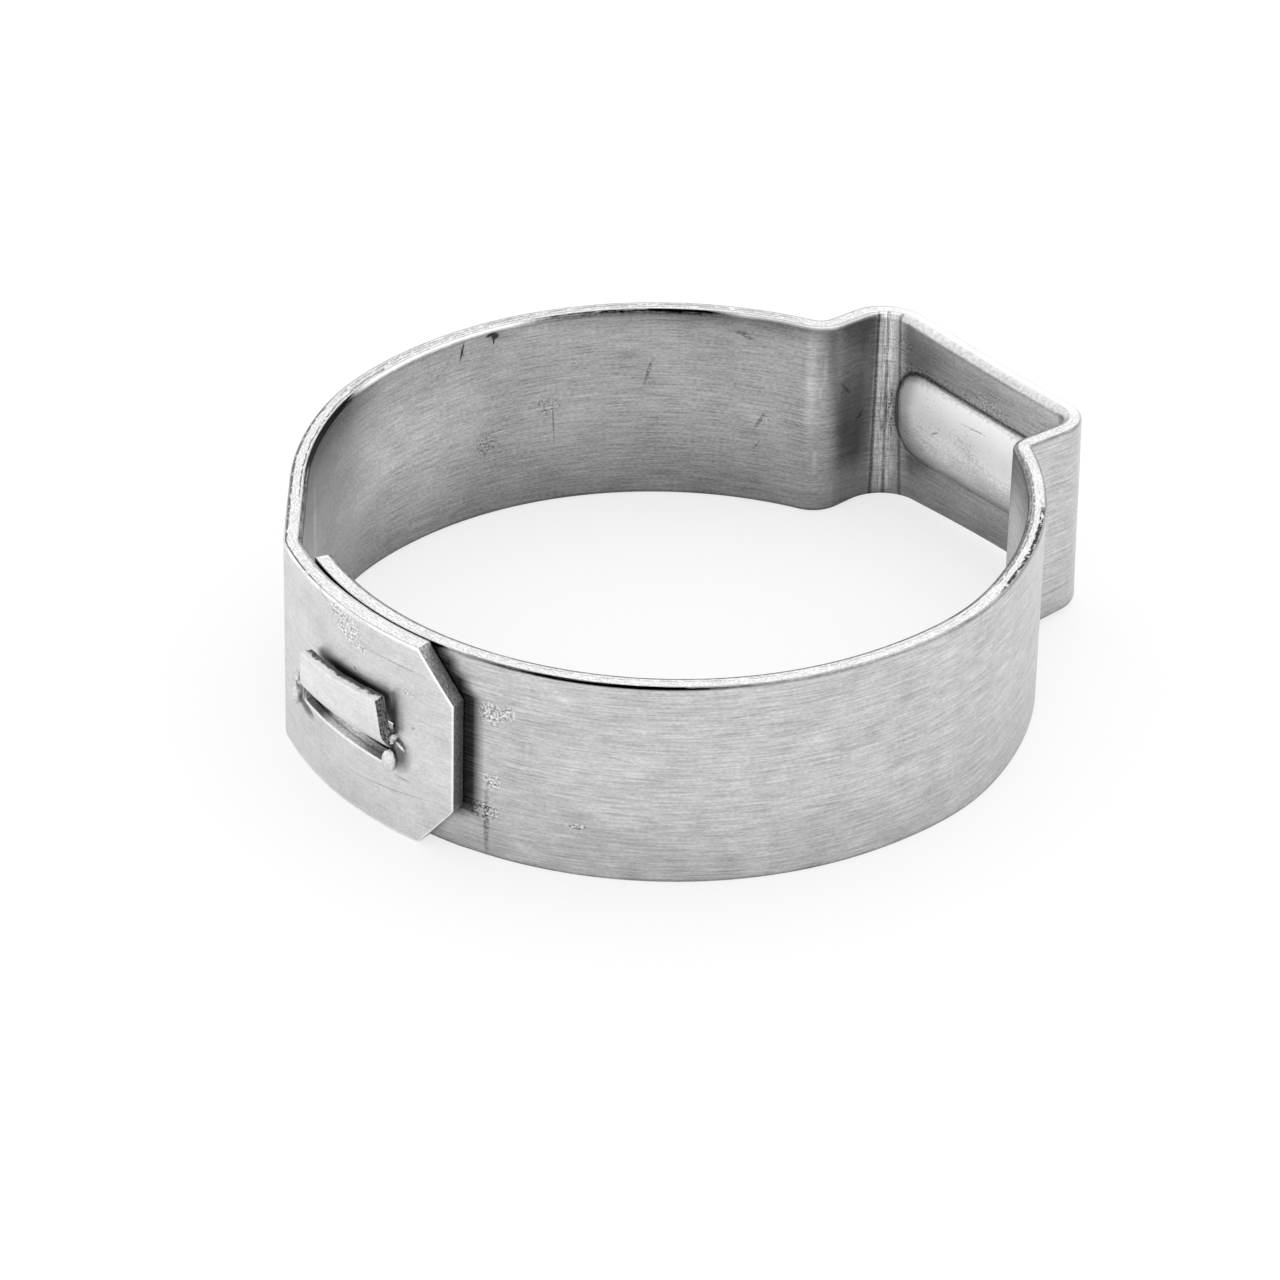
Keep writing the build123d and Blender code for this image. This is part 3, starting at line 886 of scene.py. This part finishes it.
# Sheared steel of the rims and cuts: bright and speckled, with small torn hollows
def shearedSteel(name, colour, speckle, isRim=False, darkFrom=None):
    material, tree, shader = newMaterial(name)
    inSpace = {"Vector": addNode("TexCoord", tree=tree)["Object"]}
    fine = addNode("TexNoise", {**inSpace, "Scale": sheared["fine"], "Detail": 3.0, "Roughness": 0.65})[0]
    broad = addNode("TexNoise", {**inSpace, "Scale": sheared["broad"], "Detail": 2.0})[0]
    value = added(colour - speckle, ramp(fine, 0.36, 0.62), speckle)
    bumpStrength = sheared["bump"]
    if isRim or darkFrom is not None:
        strips, along, across = stripMap(tree)
    if isRim:
        # drawn lines along the rim; its own share runs from 0 at the outer edge to 1 at the inner edge
        share = mathNode("FRACT", plus(across, 0.3))
        value = times(value, ramp(stripNoise(strips, 0.3, 1.0, 3.0), 0.4, 0.6, 0.84, 1.08))
        value = times(value, ramp(apartFrom(share, 0.5), 0.38, 0.47, 1.0, 0.55))
        # broken dark lines that wander along it
        broken = ramp(stripNoise(strips, 0.35, 4.0, 3.0, 6.0), 0.4, 0.45)
        wander = times(minus(stripNoise(strips, 0.5, 9.0, 2.0, 8.0), 0.5), 0.2)
        for low, high, middleShare, halfShare, depth in rimMarks:
            within = times(ramp(along, low / 10, low / 10 + 0.07),
                           fall(along, high / 10 - 0.07, high / 10))
            offLine = apartFrom(share, plus(wander, middleShare))
            within = times(within, ramp(offLine, halfShare * 0.6, halfShare, depth, 0.0))
            value = toned(value, times(within, broken), -1.0)
        ironed = attribute(tree, "crownBand")
        value = added(value, times(ironed, minus(sheared["ironed"], value)), 0.8)
        bumpStrength = toned(bumpStrength, ironed, -0.9)
    if darkFrom is not None:
        # the tongue's tip: bright along its front, torn and dark from a share of its thickness on
        share = minus(across, tongueTip / 10)
        share = added(share, minus(stripNoise(strips, 0.25, 4.0, 4.0), 0.5), 0.9)
        value = times(value, ramp(share, darkFrom, darkFrom + 0.25, 1.0, sheared["torn"]))
    value = mathNode("MULTIPLY", value, ramp(broad, 0.2, 0.8, 0.9, 1.08), clamp=True)
    roughness = ramp(fine, 0.3, 0.7, 0.55, 0.3)
    asMetal(tree, shader, value, value, roughness, fine, bumpStrength, sheared["bumpHeight"])
    return material


# Steels in the order of the kinds of face; the sheared ones have their tone and speckle
steels = (brushedSteel("brushedOutside", outsideLook, False), brushedSteel("brushedInside", insideLook, True),
          shearedSteel("shearedEdge", 0.84, 0.26, isRim=True), shearedSteel("shearedEnd", 0.56, 0.34),
          shearedSteel("tornSide", 0.34, 0.34), shearedSteel("tornTop", 1.0, 0.15, darkFrom=0.45))
meshPiece("bandStrip", points[used], faces, uv[used], steels, kinds,
          {key: field[used] for key, field in fields.items()})

# Burrs and raised lips at the slot's ends: angle, height, stand from the axis, half sizes (round the
# ring, up, outwards), turn in the face, roughness
burrs = [
    (278.7, 2.58, 12.60, 0.26, 0.40, 0.16, -8, 0.10),
    (279.6, 3.52, 12.62, 0.17, 0.10, 0.16, 25, 0.35),
    (278.9, 3.36, 12.62, 0.16, 0.12, 0.12, -20, 0.35),
    (280.6, 3.28, 12.56, 0.22, 0.05, 0.05, -30, 0.30),
    (255.0, 2.25, 12.60, 0.20, 0.34, 0.16, 0, 0.12),
    (255.5, 2.95, 12.60, 0.14, 0.12, 0.14, 0, 0.35),
]


# Lumps: a sphere's grid (t, p), stretched to its half sizes, its radius roughened, turned into the
# ring's tangent, up and outward directions. The last column repeats the first, which closes it
def lumps(entries, nT=17, nP=24):
    t = np.linspace(0.02, math.pi - 0.02, nT)[:, None]
    p = np.linspace(0, 2 * math.pi, nP + 1)[None, :]
    allPoints, allFaces, allUv = [], [], []
    for number, (angle, z, stand, around, up, outward, turn, tear) in enumerate(entries):
        grow = 1 + tear * rough(3 * np.cos(t) + number, 3 * np.sin(t) * np.cos(p) + np.sin(p), 2.5)
        x = around * grow * np.sin(t) * np.cos(p)
        y = up * grow * np.cos(t) + 0 * p
        w = outward * grow * np.sin(t) * np.sin(p)
        x[:, -1], y[:, -1], w[:, -1] = x[:, 0], y[:, 0], w[:, 0]
        c, s = math.cos(math.radians(turn)), math.sin(math.radians(turn))
        x, y = c * x - s * y, s * x + c * y
        spin = math.radians(angle) + x / stand
        far = stand + w
        allPoints.append(np.stack([far * np.cos(spin), far * np.sin(spin), z + y], -1).reshape(-1, 3))
        index = np.arange(nT * (nP + 1)).reshape(nT, nP + 1) + number * nT * (nP + 1)
        allFaces.append(quads(index[:-1, :-1], index[1:, :-1], index[1:, 1:], index[:-1, 1:]))
        allUv.append(np.stack([x + number, y], -1).reshape(-1, 2))
    return np.concatenate(allPoints), np.concatenate(allFaces), np.concatenate(allUv)


burrPoints, burrFaces, burrUv = lumps(burrs)
burrSteel = shearedSteel("tornSteel", 0.85, 0.2)
meshPiece("lockBurrs", burrPoints, burrFaces, burrUv, (burrSteel,), np.zeros(len(burrFaces), np.int32), {})

# A pale floor. The camera sees it mostly as plain white, and reflections partly
ground = {"half": 2, "colour": 0.92, "roughness": 0.9, "seen": 0.7, "mirrored": 0.3}
floorMesh = bpy.data.meshes.new("floor")
far = ground["half"]
floorMesh.from_pydata([(-far, -far, 0), (far, -far, 0), (far, far, 0), (-far, far, 0)], [], [(0, 1, 2, 3)])
floor = bpy.data.objects.new("floor", floorMesh)
bpy.context.scene.collection.objects.link(floor)
floorMaterial, floorTree, floorShader = newMaterial("paleFloor")
floorShader.inputs["Base Color"].default_value = (*[ground["colour"]] * 3, 1)
floorShader.inputs["Roughness"].default_value = ground["roughness"]
floorShader.inputs["Specular IOR Level"].default_value = 0.0
rays = addNode("LightPath", tree=floorTree)
seen = added(times(rays["Is Camera Ray"], ground["seen"]),
             rays["Is Glossy Ray"], ground["mirrored"])
white = addNode("Emission", {"Strength": 1.0}, tree=floorTree)
mixed = addNode("MixShader", {0: seen, 1: floorShader.outputs[0], 2: white[0]})
floorTree.links.new(mixed[0], floorTree.nodes["Material Output"].inputs["Surface"])
floorMesh.materials.append(floorMaterial)

# A white room with a dark ceiling, which gives the steel its dark edge lines, and a soft lamp
studio = {
    "bright": 1.2,
    "dark": 0.35,
    "ceiling": (0.8, 0.95),     # from where to where the room darkens upwards, as sines of the height
    "lamp": 0.5,                # watts
    "lampSize": 0.35,
    "lampPlace": (-0.05, 0.1, 0.4),
    "lampTilt": (-12, -6, 0),
}
world = bpy.data.worlds.new("studio")
bpy.context.scene.world = world
world.use_nodes = True
sky = world.node_tree
upwards = addNode("SeparateXYZ", {0: addNode("TexCoord", tree=sky)["Generated"]})["Z"]
shade = ramp(upwards, *studio["ceiling"], studio["bright"], studio["dark"])
sky.links.new(shade, sky.nodes["Background"].inputs["Strength"])
sky.nodes["Background"].inputs["Color"].default_value = (1, 1, 1, 1)

lamp = bpy.data.lights.new("softBox", "AREA")
lamp.shape = "RECTANGLE"
lamp.size = lamp.size_y = studio["lampSize"]
lamp.energy = studio["lamp"]
lampObject = bpy.data.objects.new("softBox", lamp)
lampObject.location = studio["lampPlace"]
lampObject.rotation_euler = [math.radians(angle) for angle in studio["lampTilt"]]
bpy.context.scene.collection.objects.link(lampObject)

# Camera, in degrees and mm: it stands the distance back from the aim, against the way it looks
view = {"azimuth": 50.2, "elevation": 32.003, "roll": 1.3372, "distance": 196.8, "lens": 171.312,
        "aim": (-1.9989, 0.6555, 0.0)}
az, el, roll = (math.radians(view[key]) for key in ("azimuth", "elevation", "roll"))
forward = np.array([-math.sin(az) * math.cos(el), math.cos(az) * math.cos(el), -math.sin(el)])
level = np.array([math.cos(az), math.sin(az), 0.0])
right = math.cos(roll) * level + math.sin(roll) * np.cross(level, forward)
eye = np.array(view["aim"]) - view["distance"] * forward
camera = bpy.data.cameras.new("photoView")
camera.lens = view["lens"]
camera.sensor_width = 36.0
camera.clip_start = 0.01
cameraObject = bpy.data.objects.new("photoView", camera)
bpy.context.scene.collection.objects.link(cameraObject)
matrix = np.eye(4)
for column, axis in enumerate((right, np.cross(right, forward), -forward, eye * mm)):
    matrix[:3, column] = axis
cameraObject.matrix_world = Matrix(matrix.tolist())
bpy.context.scene.camera = cameraObject
bpy.context.scene.view_settings.view_transform = "Standard"
